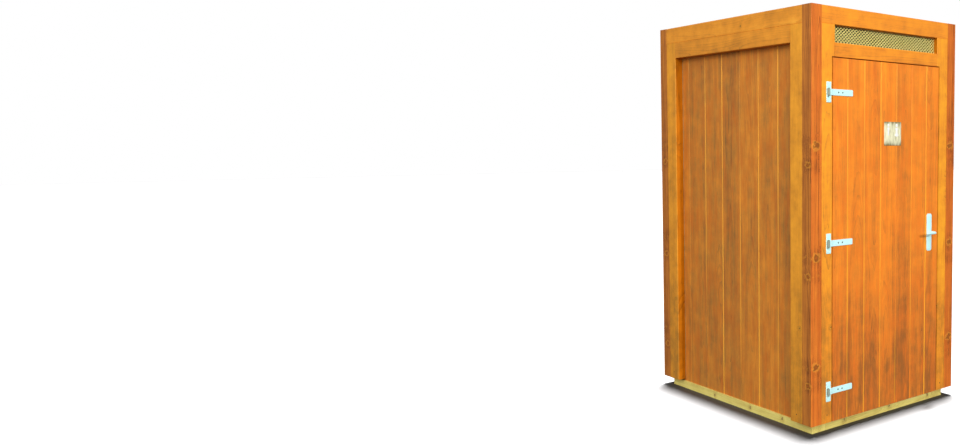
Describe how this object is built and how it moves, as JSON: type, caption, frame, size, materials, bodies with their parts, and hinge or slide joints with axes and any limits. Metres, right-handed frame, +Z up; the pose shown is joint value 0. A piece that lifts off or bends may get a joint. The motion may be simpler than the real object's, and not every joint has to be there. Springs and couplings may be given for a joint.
{
  "type": "wooden outhouse",
  "caption": "Free-standing timber outhouse cabin with framed board walls, a hinged ledged door with lever handle, a vent over the door and a low inset base.",
  "frame": {"origin": "middle of the plan at ground level, on the underside of the base's middle joist", "axes": "+X to the right seen from the front, the front with the door faces -Y, +Z up"},
  "size_m": [1.168, 1.473, 2.257],
  "materials": {
    "treated_pine": "pressure-treated sawn pine, greenish",
    "stained_post": "planed pine with a reddish translucent stain",
    "stained_frame": "planed pine with a golden translucent stain",
    "stained_boards": "V-jointed pine boards with a brown translucent stain",
    "stained_door": "V-jointed pine boards with a reddish gold translucent stain",
    "expanded_metal": "expanded mesh, dull yellow passivation",
    "galvanised_steel": "bright galvanised",
    "satin_aluminium": "satin anodised",
    "lock_steel": "zinc plated",
    "sign_metal": "brushed plate"
  },
  "bodies": {
    "cabin": {"base_left_beam": "treated_pine", "base_right_beam": "treated_pine", "base_front_beam": "treated_pine", "base_back_beam": "treated_pine", "base_middle_joist": "treated_pine", "floor_boards": "treated_pine", "post_front_left": "stained_post", "post_front_right": "stained_post", "post_back_left": "stained_post", "post_back_right": "stained_post", "hinge_stile": "stained_frame", "latch_stile": "stained_frame", "front_top_rail": "stained_frame", "door_head_rail": "stained_frame", "vent_mesh": "expanded_metal", "left_stiles": "stained_frame", "left_top_rail": "stained_frame", "left_second_rail": "stained_frame", "right_stiles": "stained_frame", "right_top_rail": "stained_frame", "right_second_rail": "stained_frame", "back_stiles": "stained_frame", "back_top_rail": "stained_frame", "back_second_rail": "stained_frame", "left_boards": "stained_boards", "right_boards": "stained_boards", "back_boards": "stained_boards", "roof_boards": "stained_boards", "roof_joists": "treated_pine", "hinge_plates": "galvanised_steel", "strike_plate": "lock_steel"},
    "door": {"door_boards": "stained_door", "door_ledges": "stained_door", "lock_block": "stained_door", "lock_plate": "lock_steel", "hinge_bands": "galvanised_steel", "handle_plates": "satin_aluminium", "sign_plate": "sign_metal"},
    "lever": {"outer_lever": "satin_aluminium", "inner_lever": "satin_aluminium", "lever_spindle": "lock_steel"}
  },
  "joints": [
    {"name": "door_hinge", "type": "hinge", "parent": "cabin", "child": "door", "pos_m": [-0.471, -0.7166, 1.018], "axis": [0, 0, -1], "range_deg": [0, 170]},
    {"name": "lever_turn", "type": "hinge", "parent": "door", "child": "lever", "pos_m": [0.355, -0.705, 1.025], "axis": [0, -1, 0], "range_deg": [0, 40], "stiffness_Nm_per_rad": 0.8, "springref_deg": -20.05}
  ]
}
